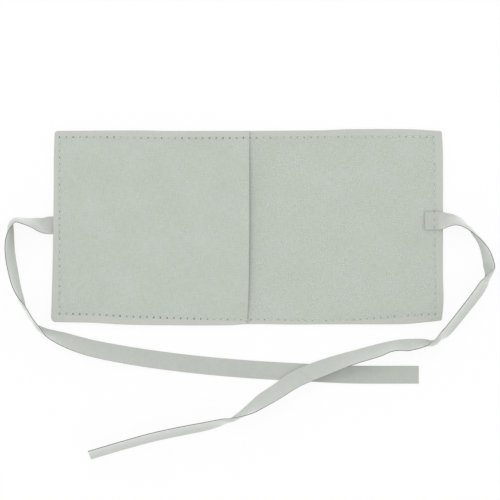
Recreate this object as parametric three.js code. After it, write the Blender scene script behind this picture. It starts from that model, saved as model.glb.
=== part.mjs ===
// A jewellery pouch of microsuede, laid open on a table: a pocket half, and a flap that folds over it and is
// held shut by two sewn-in ribbons. Millimetres, with +X from the pocket's end to the flap's end, +Y across
// the pouch and +Z up. The origin is on the table, under the middle of the open pouch.
import * as THREE from "three";

// Cloth
const POUCH_LENGTH = 164; // laid open, from the pocket's end to the flap's end
const POUCH_WIDTH = 81;
const COVER_THICKNESS = 0.6; // the sheet that is outside when the pouch is shut
const LINING_THICKNESS = 0.6; // the sheet that is inside
const POCKET_THICKNESS = 0.7;
const POCKET_LENGTH = 82.5; // from the pocket's end to its open mouth
const POCKET_CORNER_RADIUS = 1.5; // the sewn corners of the pocket half are soft
const FLAP_CORNER_RADIUS = 0.5; // the cut corners of the flap are sharp
const FOLD_WIDTH = 3.6; // the stretch of cloth that bends when the flap shuts
const CLEARANCE = 0.3;

// Sewing thread
const SEAM_MARGIN = 2.7; // from the cut edge to the middle of the stitch row
const FLAP_END_MARGIN = 3.7; // the same at the flap's end, where the row also holds a tie
const STITCH_PITCH = 2.88;
const THREAD_WIDTH = 0.4;
const THREAD_HEIGHT = 0.25; // how far a stitch swells above the cloth
const THREAD_DIP = 0.08; // what is left of that at a needle hole
const STITCH_FACETS = 4;

// Tie ribbons
const TIE_WIDTH = 7.5;
const TIE_THICKNESS = 0.4;
const TIE_SEWN_LENGTH = 7.7; // the end that lies on the cloth
const LEFT_TIE_ACROSS = 0.9; // each tie's middle, across the pouch
const RIGHT_TIE_ACROSS = 2.8;
const TIE_OVERLAP_LIFT = TIE_THICKNESS + 2 * CLEARANCE; // where one tie lies over the other
const TIE_STEPS = 3; // steps of a tie's strip between two rows of its route

// Levels above the table
const LINING_LEVEL = COVER_THICKNESS;
const INNER_FACE = COVER_THICKNESS + LINING_THICKNESS;
const POCKET_LEVEL = INNER_FACE + TIE_THICKNESS; // the left tie's end lies between the lining and the pocket
const POCKET_FACE = POCKET_LEVEL + POCKET_THICKNESS;

// Places along and across the pouch
const POCKET_END = -POUCH_LENGTH / 2;
const FLAP_END = POUCH_LENGTH / 2;
const POCKET_MOUTH = POCKET_END + POCKET_LENGTH;
const FOLD_START = POCKET_MOUTH + CLEARANCE;
const FLAP_START = FOLD_START + FOLD_WIDTH;
const HALF_WIDTH = POUCH_WIDTH / 2;
const SEWN_STRIP = SEAM_MARGIN + THREAD_WIDTH; // the margin of the pocket that the stitches hold down
const POCKET_ROW = POCKET_END + SEAM_MARGIN;
const FLAP_ROW = FLAP_END - FLAP_END_MARGIN;
const SIDE_ROW = HALF_WIDTH - SEAM_MARGIN;

// The free stretch of each tie, from where it leaves the cloth. A row is [x, y, roll, lift]: x and y from
// that point, the ribbon's roll about its own length in degrees, and its lower edge's height off the table.
// At roll 0 it lies flat, face up; at 90 it stands on edge; at 180 it lies flat, back up.
const LEFT_TIE_ROUTE = [
  [-0.3, 0, 0, INNER_FACE],
  [-3.4, 0, 20, 0.7 * INNER_FACE],
  [-5, 0.2, 42, 0.4 * INNER_FACE],
  [-6.8, 0.7, 56, 0.2 * INNER_FACE],
  [-9.2, 1.2, 66, 0],
  [-11.7, 1.7, 71, 0],
  [-13.8, 2.1, 75, 0],
  [-15.3, 2.1, 77, 0],
  [-16.2, 1.4, 81, 0],
  [-16.6, 0.2, 90, 0],
  [-17.1, -1.4, 102, 0],
  [-17.6, -3.9, 111, 0],
  [-17.9, -6.6, 117, 0],
  [-17.9, -10.4, 120, 0],
  [-17.4, -14.8, 121, 0],
  [-16.5, -19.5, 120, 0],
  [-15.4, -24.4, 116, 0],
  [-14.1, -28.2, 109, 0],
  [-12.9, -30.8, 102, 0],
  [-11.6, -33.4, 90, 0],
  [-10.6, -36.2, 80, 0],
  [-9.1, -39.1, 78, 0],
  [-7.4, -41.1, 80, 0],
  [-5.7, -42.2, 90, 0],
  [-4, -43.5, 102, 0],
  [-2, -45, 115, 0],
  [1.2, -46.5, 127, 0],
  [5.1, -48, 139, 0],
  [10.2, -49.8, 149, 0],
  [16.9, -51.7, 157, 0],
  [25.5, -53.5, 163, 0],
  [34, -55, 168, 0],
  [44.5, -56.6, 176, 0],
  [61.9, -58.7, 180, 0],
  [82.5, -60.5, 180, 0],
  [99.5, -61.5, 180, 0],
  [124.9, -62.7, 180, 0],
  [153.8, -62.8, 180, 0],
];
const RIGHT_TIE_ROUTE = [
  [0.6, 0.3, 26, INNER_FACE],
  [2.6, 0.4, 49, 0.8 * INNER_FACE],
  [4.8, 0.2, 61, 0.3 * INNER_FACE],
  [7.6, -0.9, 71, 0],
  [9.9, -2.6, 80, 0],
  [11.5, -4.5, 90, 0],
  [14.9, -8.3, 102, 0],
  [16.5, -10.7, 110, 0],
  [17.8, -13.6, 119, 0],
  [18.7, -16.5, 124, 0],
  [19.3, -20.2, 127, 0],
  [19.1, -21.7, 96, 0],
  [18.7, -23.2, 68, 0],
  [17.4, -25.7, 60, 0],
  [14.2, -30.7, 57, 0],
  [4.7, -42.8, 59, 0],
  [2.1, -45.9, 60, 0],
  [-0.3, -48.1, 65, 0],
  [-4.1, -50.2, 90, 0],
  [-7.1, -51, 112, 0],
  [-14.9, -52.1, 130, 0],
  [-17.6, -52.1, 127, 0],
  [-20.4, -52.4, 124, 0],
  [-23.6, -53.1, 126, 0],
  [-26.7, -54.2, 133, 0],
  [-38.5, -57.6, 138, 0.2 * TIE_OVERLAP_LIFT],
  [-44.8, -59.7, 148, 0.6 * TIE_OVERLAP_LIFT],
  [-54.7, -63.3, 160, TIE_OVERLAP_LIFT],
  [-62.1, -66.6, 155, TIE_OVERLAP_LIFT],
  [-70.9, -72.3, 147, 0.8 * TIE_OVERLAP_LIFT],
  [-76.1, -75.5, 140, 0.2 * TIE_OVERLAP_LIFT],
  [-80.1, -78.3, 127, 0],
  [-83.8, -80.4, 112, 0],
  [-88.8, -82.7, 90, 0],
  [-91.6, -84, 72, 0],
  [-99.1, -86.1, 61, 0],
  [-109.2, -88.1, 59, 0],
  [-121.8, -90.8, 59, 0],
  [-134.3, -94.2, 60, 0],
  [-148.5, -98.4, 60, 0],
];
const LEFT_HAND = 1; // the edge that rises first is on the left of the tie's heading
const RIGHT_HAND = -1;

const microsuede = new THREE.MeshStandardMaterial({ color: "#bfc7bd", roughness: 0.95, metalness: 0 });
const liningSuede = new THREE.MeshStandardMaterial({ color: "#bec6bd", roughness: 0.95, metalness: 0 });
const ribbon = new THREE.MeshStandardMaterial({ color: "#c1c6c0", roughness: 0.8, metalness: 0 });
const sewingThread = new THREE.MeshStandardMaterial({ color: "#c3c9c1", roughness: 0.7, metalness: 0 });

const pouch = new THREE.Group();

function place(name, geometry, material, x, y, z) {
  const mesh = new THREE.Mesh(geometry, material);
  mesh.name = name;
  mesh.position.set(x, y, z);
  pouch.add(mesh);
}

// A flat sheet from x = 0 to its length, lying on z = 0, with its own corner radius at each end.
function sheet(length, width, thickness, startRadius = 0, endRadius = 0) {
  const side = width / 2;
  const outline = new THREE.Shape();
  outline.moveTo(startRadius, -side);
  outline.lineTo(length - endRadius, -side);
  if (endRadius > 0) outline.absarc(length - endRadius, endRadius - side, endRadius, -Math.PI / 2, 0);
  outline.lineTo(length, side - endRadius);
  if (endRadius > 0) outline.absarc(length - endRadius, side - endRadius, endRadius, 0, Math.PI / 2);
  outline.lineTo(startRadius, side);
  if (startRadius > 0) outline.absarc(startRadius, side - startRadius, startRadius, Math.PI / 2, Math.PI);
  outline.lineTo(0, startRadius - side);
  if (startRadius > 0) outline.absarc(startRadius, startRadius - side, startRadius, Math.PI, 1.5 * Math.PI);
  return new THREE.ExtrudeGeometry(outline, { depth: thickness, bevelEnabled: false, curveSegments: 6 });
}

// A row of lockstitch along +X on z = 0: the thread swells between needle holes, and steps up over what it
// crosses.
function stitchRow(length, crossed = { from: 0, to: 0, height: 0 }) {
  const count = Math.max(1, Math.round(length / STITCH_PITCH));
  const pitch = length / count;
  const side = new THREE.Shape();
  side.moveTo(0, 0);
  for (let stitch = 0; stitch < count; stitch++) {
    const start = stitch * pitch;
    const end = start + pitch;
    const seat = end > crossed.from && start < crossed.to ? crossed.height : 0;
    const hole = seat + THREAD_DIP;
    side.lineTo(start, hole);
    side.quadraticCurveTo((start + end) / 2, seat + 2 * THREAD_HEIGHT - THREAD_DIP, end, hole);
  }
  side.lineTo(length, 0);
  if (crossed.height > 0) {
    side.lineTo(crossed.to, 0);
    side.lineTo(crossed.to, crossed.height);
    side.lineTo(crossed.from, crossed.height);
    side.lineTo(crossed.from, 0);
  }
  side.closePath();
  const row = new THREE.ExtrudeGeometry(side, {
    depth: THREAD_WIDTH,
    bevelEnabled: false,
    curveSegments: STITCH_FACETS,
  });
  return row.rotateX(Math.PI / 2).translate(0, THREAD_WIDTH / 2, 0);
}

// A route with more rows, on a smooth line through the rows that are given.
function smoothRoute(route) {
  const along = [0];
  for (let i = 1; i < route.length; i++) {
    const [x, y] = route[i];
    const [lastX, lastY] = route[i - 1];
    along.push(along[i - 1] + Math.hypot(x - lastX, y - lastY));
  }
  const line = new THREE.CubicInterpolant(along, route.flat(), route[0].length);
  const rows = [];
  for (let i = 1; i < route.length; i++) {
    for (let step = 0; step < TIE_STEPS; step++) {
      rows.push([...line.evaluate(THREE.MathUtils.lerp(along[i - 1], along[i], step / TIE_STEPS))]);
    }
  }
  rows.push(route[route.length - 1]);
  return rows;
}

// Where a tie's middle is at one row of its route, with the directions of its width and of its face.
function tieStation(route, index, hand) {
  const [x, y, roll, lift] = route[index];
  const before = route[Math.max(index - 1, 0)];
  const after = route[Math.min(index + 1, route.length - 1)];
  const heading = new THREE.Vector3(after[0] - before[0], after[1] - before[1], 0).normalize();
  const angle = THREE.MathUtils.degToRad(roll);
  const across = new THREE.Vector3(-heading.y, heading.x, 0).multiplyScalar(hand * Math.cos(angle));
  const width = across.setZ(Math.sin(angle));
  const height = TIE_WIDTH * Math.abs(Math.sin(angle)) + TIE_THICKNESS * Math.abs(Math.cos(angle));
  return {
    middle: new THREE.Vector3(x, y, Math.max(lift, 0) + height / 2),
    width,
    face: heading.clone().cross(width),
  };
}

// A tie's free stretch: a flat strip along its route. Both of its faces are split into triangles along the
// same diagonals, so that they stay apart where the strip twists.
function tie(route, hand) {
  const rows = smoothRoute(route);
  const halfWidth = TIE_WIDTH / 2;
  const halfThickness = TIE_THICKNESS / 2;
  const section = [
    [-halfWidth, halfThickness],
    [halfWidth, halfThickness],
    [halfWidth, -halfThickness],
    [-halfWidth, -halfThickness],
  ];
  const corners = [];
  const triangles = [0, 1, 2, 0, 2, 3];
  for (let row = 0; row < rows.length; row++) {
    const station = tieStation(rows, row, hand);
    for (const [across, up] of section) {
      const corner = station.middle.clone().addScaledVector(station.width, across);
      corners.push(...corner.addScaledVector(station.face, up));
    }
  }
  for (let row = 1; row < rows.length; row++) {
    const end = section.length * row;
    const start = end - section.length;
    for (let side = 0; side < section.length; side++) {
      const next = (side + 1) % section.length;
      const [a, b, c, d] = [start + side, start + next, end + next, end + side];
      if (side < 2) triangles.push(a, c, b, a, d, c);
      else triangles.push(a, d, b, b, d, c);
    }
  }
  const last = corners.length / 3 - section.length;
  triangles.push(last, last + 2, last + 1, last, last + 3, last + 2);
  const strip = new THREE.BufferGeometry();
  strip.setAttribute("position", new THREE.Float32BufferAttribute(corners, 3));
  strip.setIndex(triangles);
  strip.computeVertexNormals();
  return strip;
}

// Outer cover and lining: the back of the pocket half, the stretch that folds, and the flap
function layer(suffix, material, thickness, level) {
  const backLength = FOLD_START - POCKET_END;
  const flapLength = FLAP_END - FLAP_START;
  const back = sheet(backLength, POUCH_WIDTH, thickness, POCKET_CORNER_RADIUS, 0);
  const flap = sheet(flapLength, POUCH_WIDTH, thickness, 0, FLAP_CORNER_RADIUS);
  place(`back_${suffix}`, back, material, POCKET_END, 0, level);
  place(`${suffix}_fold`, sheet(FOLD_WIDTH, POUCH_WIDTH, thickness), material, FOLD_START, 0, level);
  place(`flap_${suffix}`, flap, material, FLAP_START, 0, level);
}
layer("cover", microsuede, COVER_THICKNESS, 0);
layer("lining", liningSuede, LINING_THICKNESS, LINING_LEVEL);

// Pocket front: the sewn margin on three sides, and the panel inside it that lifts at the mouth
const sewnSideLength = POCKET_LENGTH - SEWN_STRIP;
const sewnSideMiddle = HALF_WIDTH - SEWN_STRIP / 2;
const sewnEnd = sheet(SEWN_STRIP, POUCH_WIDTH, POCKET_THICKNESS, POCKET_CORNER_RADIUS, 0);
const sewnSide = sheet(sewnSideLength, SEWN_STRIP, POCKET_THICKNESS);
place("pocket_margin_left", sewnEnd, microsuede, POCKET_END, 0, POCKET_LEVEL);
place("pocket_margin_top", sewnSide, microsuede, POCKET_END + SEWN_STRIP, sewnSideMiddle, POCKET_LEVEL);
place("pocket_margin_bottom", sewnSide, microsuede, POCKET_END + SEWN_STRIP, -sewnSideMiddle, POCKET_LEVEL);
const panel = sheet(sewnSideLength - CLEARANCE, POUCH_WIDTH - 2 * (SEWN_STRIP + CLEARANCE), POCKET_THICKNESS);
place("pocket_front", panel, microsuede, POCKET_END + SEWN_STRIP + CLEARANCE, 0, POCKET_LEVEL);

// Ties: each end that is sewn to the cloth, and each free stretch
const sewnTie = sheet(TIE_SEWN_LENGTH, TIE_WIDTH, TIE_THICKNESS);
place("left_tie_sewn_end", sewnTie, ribbon, POCKET_END, LEFT_TIE_ACROSS, INNER_FACE);
place("right_tie_sewn_end", sewnTie, ribbon, FLAP_END - TIE_SEWN_LENGTH, RIGHT_TIE_ACROSS, INNER_FACE);
place("left_tie_ribbon", tie(LEFT_TIE_ROUTE, LEFT_HAND), ribbon, POCKET_END, LEFT_TIE_ACROSS, 0);
place("right_tie_ribbon", tie(RIGHT_TIE_ROUTE, RIGHT_HAND), ribbon, FLAP_END, RIGHT_TIE_ACROSS, 0);

// Stitch rows along both sides of the pouch, on the pocket, over the fold and on the flap
const halfThread = THREAD_WIDTH / 2;
const pocketRowStart = POCKET_ROW - halfThread;
const pocketSideRow = stitchRow(POCKET_MOUTH - pocketRowStart);
const foldSideRow = stitchRow(FOLD_WIDTH);
const flapSideRow = stitchRow(FLAP_ROW + halfThread - FLAP_START);
for (const [side, y] of [["top", SIDE_ROW], ["bottom", -SIDE_ROW]]) {
  place(`pocket_${side}_thread`, pocketSideRow, sewingThread, pocketRowStart, y, POCKET_FACE);
  place(`fold_${side}_thread`, foldSideRow, sewingThread, FOLD_START, y, INNER_FACE);
  place(`flap_${side}_thread`, flapSideRow, sewingThread, FLAP_START, y, INNER_FACE);
}

// Stitch rows across both ends, between the side rows. The flap's row steps up over the right tie.
const endRowStart = -SIDE_ROW + halfThread + CLEARANCE;
const endRowLength = -2 * endRowStart;
const overRightTie = {
  from: RIGHT_TIE_ACROSS - TIE_WIDTH / 2 - CLEARANCE - endRowStart,
  to: RIGHT_TIE_ACROSS + TIE_WIDTH / 2 + CLEARANCE - endRowStart,
  height: TIE_THICKNESS,
};
const pocketEndRow = stitchRow(endRowLength).rotateZ(Math.PI / 2);
const flapEndRow = stitchRow(endRowLength, overRightTie).rotateZ(Math.PI / 2);
place("pocket_left_thread", pocketEndRow, sewingThread, POCKET_ROW, endRowStart, POCKET_FACE);
place("flap_right_thread", flapEndRow, sewingThread, FLAP_ROW, endRowStart, INNER_FACE);

export default pouch;
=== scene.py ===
"""Dresses a jewellery pouch of sage-green microsuede, laid open with its two tie ribbons loose beside it."""

import bpy
import numpy as np
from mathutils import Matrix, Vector


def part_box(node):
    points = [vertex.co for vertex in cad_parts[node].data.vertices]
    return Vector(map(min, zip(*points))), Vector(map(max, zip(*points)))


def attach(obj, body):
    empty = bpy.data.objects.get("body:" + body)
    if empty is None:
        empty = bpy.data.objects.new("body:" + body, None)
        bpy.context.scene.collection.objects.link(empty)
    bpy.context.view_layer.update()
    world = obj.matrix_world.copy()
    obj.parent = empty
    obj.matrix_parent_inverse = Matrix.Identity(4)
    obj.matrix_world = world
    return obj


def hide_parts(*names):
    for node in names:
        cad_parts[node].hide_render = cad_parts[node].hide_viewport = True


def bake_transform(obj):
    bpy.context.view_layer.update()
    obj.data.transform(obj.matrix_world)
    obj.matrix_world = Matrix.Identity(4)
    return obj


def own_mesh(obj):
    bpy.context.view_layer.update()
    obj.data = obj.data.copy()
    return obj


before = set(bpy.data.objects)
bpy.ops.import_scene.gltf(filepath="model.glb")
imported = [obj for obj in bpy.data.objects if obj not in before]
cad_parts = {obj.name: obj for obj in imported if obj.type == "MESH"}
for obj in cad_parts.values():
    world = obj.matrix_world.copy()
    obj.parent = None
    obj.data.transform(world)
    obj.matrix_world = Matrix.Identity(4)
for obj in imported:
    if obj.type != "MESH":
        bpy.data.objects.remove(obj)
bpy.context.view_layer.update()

bl_info = {
    "name": "Jewellery pouch",
    "version": (1, 0, 0),
    "blender": (4, 5, 0),
    "location": "View3D > Sidebar > Pouch",
    "description": "A stitched microsuede pouch, laid open, with a pocket, a flap and two tie ribbons",
    "category": "Object",
}

MM = 0.001


def extent(node):
    """Lowest and highest corner of a node of the frame, in millimetres."""
    return np.round(np.array(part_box(node)) / MM, 4)


def middle(node):
    """Middle of a node of the frame, in millimetres."""
    return np.round(extent(node).mean(axis=0), 4)


# Places and levels of the frame's solids, in millimetres
POCKET_END, FLAP_END = extent("back_cover")[0][0], extent("flap_cover")[1][0]
HALF_WIDTH = extent("back_cover")[1][1]
FOLD_START, FOLD_END = extent("cover_fold")[:, 0]
MOUTH = extent("pocket_front")[1][0]
POCKET_ROW, FLAP_ROW = middle("pocket_left_thread")[0], middle("flap_right_thread")[0]
SIDE_ROW = middle("pocket_top_thread")[1]
COVER_FACE = extent("back_cover")[1][2]
INNER_FACE = extent("back_lining")[1][2]
POCKET_UNDER, POCKET_FACE = extent("pocket_front")[:, 2]
POCKET_THICKNESS = POCKET_FACE - POCKET_UNDER
TIE_SEWN_LENGTH, TIE_WIDTH, TIE_THICKNESS = np.ptp(extent("right_tie_sewn_end"), axis=0)
LEFT_TIE_ACROSS = middle("left_tie_sewn_end")[1]
RIGHT_TIE_ACROSS = middle("right_tie_sewn_end")[1]

# Soft shapes of the cloth, in millimetres
POCKET_CORNER = 1.5  # radius of the sewn corners
FLAP_CORNER = 0.5
GRID_STEP = 2.5  # between grid lines where the cloth is plain
FOLD_STEP = 0.25  # and where it folds
EDGE_LINES = (0, 0.06, 0.15, 0.3, 0.5, 0.75, 1.05, 1.5)  # places of grid lines, in from a cut edge
ROW_LINES = 7  # number of grid lines across the groove of a stitch row
ROW_CLEAR = 1  # how far from a stitch row the plain grid begins
SHARP_TURN = np.radians(60)  # between faces, above which they are not shaded as one
CUT_EDGE = 0.3  # how far in the cut edges are rounded, and how wide the painted highlight along the mouth's edge is
EDGE_PINCH = 0.38  # share of the cloth's thickness that each side loses at a cut edge
RIM_FADE = 0.9  # width outside a stitch row over which the pressed margin fades in
RIM_SHARE = 0.6  # how much of the margin's own tone shows
SEAM_GROOVE = 0.08  # how deep the stitches pull the inner faces in
COVER_GROOVE = 0.2  # and the outer cover's face
SEAM_GROOVE_WIDTH = 0.9  # to each side of a row
POCKET_PRESS = 0.3  # how much lower the pocket lies where it is sewn down
POCKET_PRESS_WIDTH = 7  # over which it rises from there
TIE_BULGE = 0.35  # how far the left tie's end lifts the pocket's edge
TIE_BULGE_SIDE = 2.5  # how far beside the tie that fades out
TIE_BULGE_START = 1  # how far before the tie's end it begins to fade
TIE_BULGE_FADE = 4  # and over what length
MOUTH_REACH = 16  # how far in from the mouth its gape begins
MOUTH_SPAN = 26  # how far in from the side rows it is fully open

# Sewing, in millimetres
STITCH_PITCH = 2.88
SIDE_STITCHES = round((FLAP_ROW - POCKET_ROW) / STITCH_PITCH)
END_STITCHES = round(2 * SIDE_ROW / STITCH_PITCH)
SIDE_PITCH = (FLAP_ROW - POCKET_ROW) / SIDE_STITCHES
END_PITCH = 2 * SIDE_ROW / END_STITCHES
TIE_FIRST_HOLE = SIDE_ROW + RIGHT_TIE_ACROSS  # from a hole of the flap's end row to the right tie's middle
SIDE_HOLE = (1.1, 1, 0.95)  # length along the row, width and share of shade of a hole in the side rows
END_HOLE = (2, 0.6, 0.7)  # and in the end rows, where the holes are drawn out
HOLE_CORE = 0.4  # share of a hole's width that is at its darkest
HOLE_DENT = 4  # depth of a hole, where the nap's height is about 1
CLOSED_HOLE = 0.25  # share of shade that is left in the holes that have closed up most
FLAP_HOLE = 0.55  # share of shade in the flap's holes
FLAP_HOLE_START = 20  # x from which they have only that
UNDER_RISE = 0.05  # most that a strand's middle stands off the outer cover, in radii
THREAD_OVERHANG = 0.1  # how far beside the right tie its stitches still lie at its height
STRAND_SIDES = 6
STRAND_PLACES = (0, 0.05, 0.12, 0.25, 0.5, 0.75, 0.88, 0.95, 1)  # along a stitch, from hole to hole
STRAND_RISE = (-1.9, -1.6, -0.9, 0.05, 0.25, 0.05, -0.9, -1.6, -1.9)  # of the strand's middle, in radii
PLY_SPACING = 0.25  # of the thread's twisted plies
PLY_SLANT = 0.7  # of the plies across the strand, in radians

# Nap of the microsuede: sizes of its marks in millimetres, and how much each shows
NAP_PATCH, PATCH_SHARE = 14, 0.4
STREAK_LENGTH, STREAK_WIDTH, STREAK_SHARE = 3, 0.5, 0.7
FLECK = 0.5
FLECK_CLUSTER = 6
SUEDE_FLECKS, LINING_FLECKS, RIBBON_FLECKS = 1.6, 3.4, 0.8
HOLE_PATCH = 4  # within which needle holes have closed up alike
SUEDE_FUZZ, RIBBON_FUZZ, CUT_EDGE_FUZZ = 0.25, 1, 0  # how much loose fibre ends catch the light
RIBBON_TONE = 0.16  # how far the nap changes a ribbon's tone

# How the cloth strays from its straight cut as it lies: [place along the edge or row, how far it strays]
TOP_EDGE = [
    [-82, 0], [-77, 0.1], [-45, 0.3], [-35, 0.1], [-10, 0.1], [30, 0.35], [43, 0.8], [68, 0.8], [82, 0],
]
BOTTOM_EDGE = [
    [-82, 0.8], [-77, 0.7], [-64, 0.4], [-52, -0.3], [-32, -0.6], [-8, -0.6], [0, -0.1], [18, -0.3],
    [37, -0.2], [62, -0.15], [68, 0.1], [74, 0.7], [82, 1.5],
]
LEFT_EDGE = [[-40.5, -0.7], [-28, -0.3], [-7, 0.15], [20, 0.45], [28, 0.45], [40.5, 0.8]]
RIGHT_EDGE = [[-40.5, -0.7], [-36, -0.1], [-30, 0.15], [-23, -0.1], [31, -0.1], [40.5, -0.6]]
TOP_ROW = [[-79, 0.1], [-60, 0.1], [-40, -0.3], [-10, -0.3], [10, -0.1], [62, 0.3], [78, 0.3]]
BOTTOM_ROW = [
    [-79, 1.7], [-62, 1.2], [-51, 0.5], [-5, -1], [11, -1], [22, -1.4], [34, -1.4], [47, -0.9],
    [59, 0.2], [72, 1.2], [78, 1.4],
]
LEFT_ROW = [[-38, 0.2], [38, 0.2]]
RIGHT_ROW = [[-38, 0.5], [-25, 0.5], [3, 0.1], [24, 0.1], [38, -0.4]]
MOUTH_EDGE = [[-40.5, -1.26], [-35, -0.7], [-26, -0.27], [-8, -0.05], [5, 0.06], [32, 0], [40.5, 0.1]]

# The free stretch of each tie, from where it leaves the cloth, in millimetres and degrees. A row is x, y,
# the ribbon's roll about its own length, and the height of its lower edge: roll 0 is flat and 90 on edge.
LEFT_TIE_ROUTE = [
    [-0.3, 0, 0, 1.2], [-3.4, 0, 20, 0.84], [-5, 0.2, 42, 0.48], [-6.8, 0.7, 56, 0.24],
    [-9.2, 1.2, 66, 0], [-11.7, 1.7, 71, 0], [-13.8, 2.1, 75, 0], [-15.3, 2.1, 77, 0],
    [-16.2, 1.4, 81, 0], [-16.6, 0.2, 90, 0], [-17.1, -1.4, 102, 0], [-17.6, -3.9, 111, 0],
    [-17.9, -6.6, 117, 0], [-17.9, -10.4, 120, 0], [-17.4, -14.8, 121, 0], [-16.5, -19.5, 120, 0],
    [-15.4, -24.4, 116, 0], [-14.1, -28.2, 109, 0], [-12.9, -30.8, 102, 0], [-11.6, -33.4, 90, 0],
    [-10.6, -36.2, 80, 0], [-9.1, -39.1, 78, 0], [-7.4, -41.1, 80, 0], [-5.7, -42.2, 90, 0],
    [-4, -43.5, 102, 0], [-2, -45, 115, 0], [1.2, -46.5, 127, 0], [5.1, -48, 139, 0],
    [10.2, -49.8, 149, 0], [16.9, -51.7, 157, 0], [25.5, -53.5, 163, 0], [34, -55, 168, 0],
    [44.5, -56.6, 176, 0], [61.9, -58.7, 180, 0], [82.5, -60.5, 180, 0], [99.5, -61.5, 180, 0],
    [124.9, -62.7, 180, 0], [153.8, -62.8, 180, 0],
]
RIGHT_TIE_ROUTE = [
    [0.6, 0.3, 26, 1.2], [2.6, 0.4, 49, 0.96], [4.8, 0.2, 61, 0.36], [7.6, -0.9, 71, 0],
    [9.9, -2.6, 80, 0], [11.5, -4.5, 90, 0], [14.9, -8.3, 102, 0], [16.5, -10.7, 110, 0],
    [17.8, -13.6, 119, 0], [18.7, -16.5, 124, 0], [19.3, -20.2, 127, 0], [19.1, -21.7, 96, 0],
    [18.7, -23.2, 68, 0], [17.4, -25.7, 60, 0], [14.2, -30.7, 57, 0], [4.7, -42.8, 59, 0],
    [2.1, -45.9, 60, 0], [-0.3, -48.1, 65, 0], [-4.1, -50.2, 90, 0], [-7.1, -51, 112, 0],
    [-14.9, -52.1, 130, 0], [-17.6, -52.1, 127, 0], [-20.4, -52.4, 124, 0], [-23.6, -53.1, 126, 0],
    [-26.7, -54.2, 133, 0], [-38.5, -57.6, 138, 0.2], [-44.8, -59.7, 148, 0.6], [-54.7, -63.3, 160, 1],
    [-62.1, -66.6, 155, 1], [-70.9, -72.3, 147, 0.8], [-76.1, -75.5, 140, 0.2], [-80.1, -78.3, 127, 0],
    [-83.8, -80.4, 112, 0], [-88.8, -82.7, 90, 0], [-91.6, -84, 72, 0], [-99.1, -86.1, 61, 0],
    [-109.2, -88.1, 59, 0], [-121.8, -90.8, 59, 0], [-134.3, -94.2, 60, 0], [-148.5, -98.4, 60, 0],
]
LEFT_HAND, RIGHT_HAND = 1, -1  # the side of a tie's heading on which its edge rises first
TIE_STEP = 0.8  # length of one step of a tie's mesh
TIE_SECTION_STEP = 1  # and width of one
TIE_END_FLAT = 4.5  # how far before it leaves the cloth a tie's sewn end lies flat
TIE_END_SEWN = 2.4  # where its stitches hold it
TIE_END_ROLL = 1.4  # and where it has begun to roll
TIE_FIRST_ROLL = 0.2  # with this share of the roll at which its free stretch begins
TIE_LAG = 4  # how much later a tie's edge on the table turns than its raised edge
TIE_LAG_END = 9  # how far past its sewn end that begins to fade
TIE_FOLD_TWIST = 5  # degrees to a millimetre from which a ribbon that falls back folds over
TIE_FOLD_REACH = 4  # how far before and after such a place the fold shows
TIE_FOLD_LAG = 4.5  # how much later its edge on the table turns there
TIE_FOLD_SHIFT = 0.3  # share of that by which its middle turns later too
TIE_SAG = 0.3  # how far its section curls up where it leans, in radians at an edge
TIE_CUP = 0.2  # how far it curls over where it stands on edge, for each degree to a millimetre of twist
TIE_CUP_MOST = 1.2  # however quick the twist
TIE_CUP_POWER = 6  # how closely that keeps to where it stands upright
TIE_TWIST_REACH = 3  # length over which a twist spreads
TIE_BEVEL = 0.05  # at the corners of a tie's section
TIE_EDGE_STRIP = 0.2  # width of the strip of mesh along each of its edges
TIE_END_CURL = 0.25  # how far the right tie's sewn end stands off the lining
LEFT_TIE_SLOPE = -0.015  # how the flattened tie slopes from its sewn end down to the floor
RIGHT_TIE_SLOPE = 0.027

# Stage: metres and watts, and millimetres for the floor's gap and the camera
FLOOR_SIZE = 6
FLOOR_GAP = 0.05  # below the pouch
FLOOR_GLOW = 0.88  # share of the floor's light to the camera that is its own
TENT_TOP = 0.67  # strength of the light tent overhead
TENT_WALL = 2  # and low down, all round
TENT_POWER = 2  # how closely the brighter light keeps to the walls
LAMPS = (  # name, place, size and power
    ("key light", (-1.2, 1.2, 1.6), 1.2, 8),
    ("fill light", (1.4, -0.8, 1.6), 1.6, 2),
)
CAMERA_LENS = 300
CAMERA_SENSOR = 36
VIEW_WIDTH = 210
VIEW_CENTRE = (0.86, -9.47)

MATH = "ShaderNodeMath"
NOISE_MIDDLE = 0.5  # of a noise texture's values
WAVE_STEP = np.pi / 10  # between the bands of a wave texture at scale 1


def linear(colour):
    """Linear red, green and blue of an sRGB colour such as "#BFC7BD"."""
    parts = [int(colour[i : i + 2], 16) / 255 for i in (1, 3, 5)]
    return [p / 12.92 if p <= 0.04045 else ((p + 0.055) / 1.055) ** 2.4 for p in parts]


class PouchSizes(bpy.types.PropertyGroup):
    """Sizes of the soft details."""

    thread: bpy.props.FloatProperty(
        name="Thread", description="Thickness of the sewing thread",
        default=0.36 * MM, min=0.1 * MM, max=0.6 * MM, precision=5, unit="LENGTH",
    )
    mouth_gape: bpy.props.FloatProperty(
        name="Mouth gape", description="How far the pocket's open edge stands off the lining in the middle",
        default=0.85 * MM, min=0, max=2 * MM, precision=5, unit="LENGTH",
    )


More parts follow.
